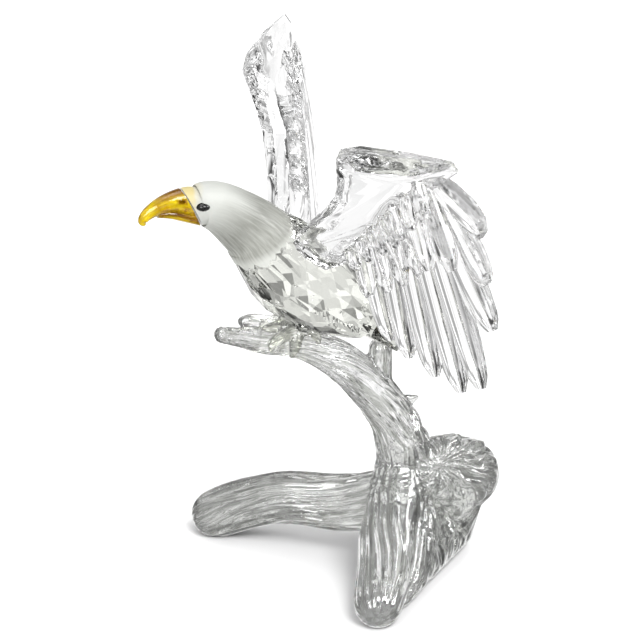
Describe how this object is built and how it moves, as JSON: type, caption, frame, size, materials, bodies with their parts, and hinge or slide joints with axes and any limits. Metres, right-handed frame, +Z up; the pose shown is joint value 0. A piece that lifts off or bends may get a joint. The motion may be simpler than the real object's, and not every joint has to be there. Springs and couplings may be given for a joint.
{
  "type": "crystal eagle figurine",
  "caption": "Clear cut-crystal eagle with raised wings, frosted head and golden beak, perched on a cast crystal driftwood base; a shelf ornament that stands on its roots",
  "frame": {"origin": "middle of the outer box, on the ground under the roots", "axes": "+Z up; the bird faces -Y; its left wing is on the +X side"},
  "size_m": [0.1078, 0.083, 0.1148],
  "materials": {
    "cast_crystal": "cast clear crystal with polished wood-grain ridges",
    "clear_crystal": "clear lead crystal, cut and polished, frosted on the head and neck",
    "golden_crystal": "golden-yellow crystal, polished",
    "black_crystal": "opaque black crystal, polished"
  },
  "bodies": {
    "root": {"branch": "cast_crystal", "body": "clear_crystal", "beak": "golden_crystal", "left_eye": "black_crystal", "right_eye": "black_crystal", "left_wing": "clear_crystal", "right_wing": "clear_crystal"}
  },
  "joints": []
}
